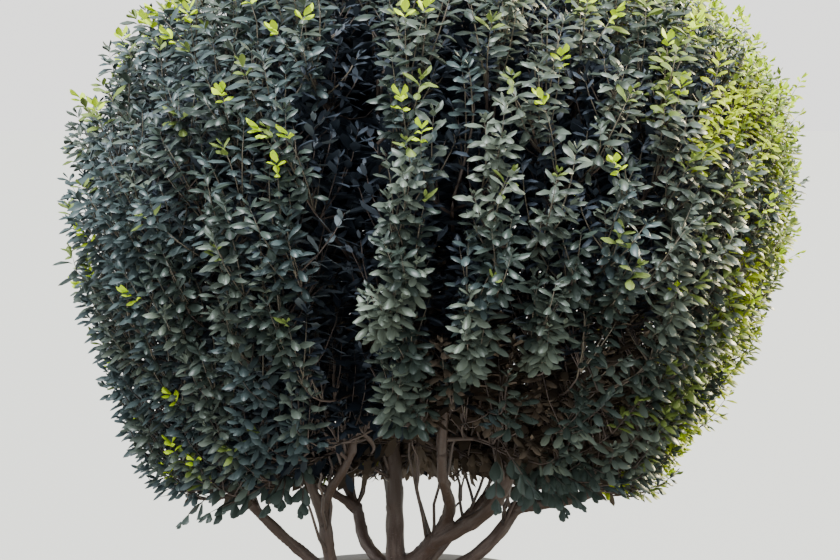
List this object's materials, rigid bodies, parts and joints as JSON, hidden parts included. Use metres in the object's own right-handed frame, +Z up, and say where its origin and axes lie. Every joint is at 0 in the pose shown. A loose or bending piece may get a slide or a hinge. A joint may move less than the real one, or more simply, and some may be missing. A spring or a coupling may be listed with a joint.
{
  "type": "potted glossy privet",
  "caption": "Evergreen shrub with small glossy leaves, clipped to a broad globe carried on bare branching stems, in a round tapering pot with a flat lip.",
  "frame": {"origin": "centre of the pot's flat underside", "axes": "+Z up, -Y towards the front, where the skirt of the crown is clipped higher and shows the stems, +X to the right seen from the front"},
  "size_m": [1.4307, 1.3987, 1.931],
  "materials": {
    "pot": "satin",
    "soil": "matte",
    "bark": "matte",
    "foliage": "satin"
  },
  "bodies": {
    "root": {"pot": "pot", "soil": "soil", "trunk": "bark", "stem_centre": "bark", "stem_right": "bark", "stem_far_right": "bark", "stem_back_right": "bark", "stem_back": "bark", "stem_mid_left": "bark", "stem_far_left": "bark", "stem_left": "bark", "bough_upright": "bark", "bough_right": "bark", "bough_far_right": "bark", "bough_back_right_a": "bark", "bough_back_right_b": "bark", "bough_back_a": "bark", "bough_back_b": "bark", "bough_mid_left_a": "bark", "bough_mid_left_b": "bark", "bough_left_a": "bark", "bough_left_b": "bark", "foliage_centre": "foliage", "foliage_01": "foliage", "foliage_02": "foliage", "foliage_03": "foliage", "foliage_04": "foliage", "foliage_05": "foliage", "foliage_06": "foliage", "foliage_07": "foliage", "foliage_08": "foliage", "foliage_09": "foliage", "foliage_10": "foliage", "foliage_11": "foliage", "foliage_12": "foliage"}
  },
  "joints": []
}
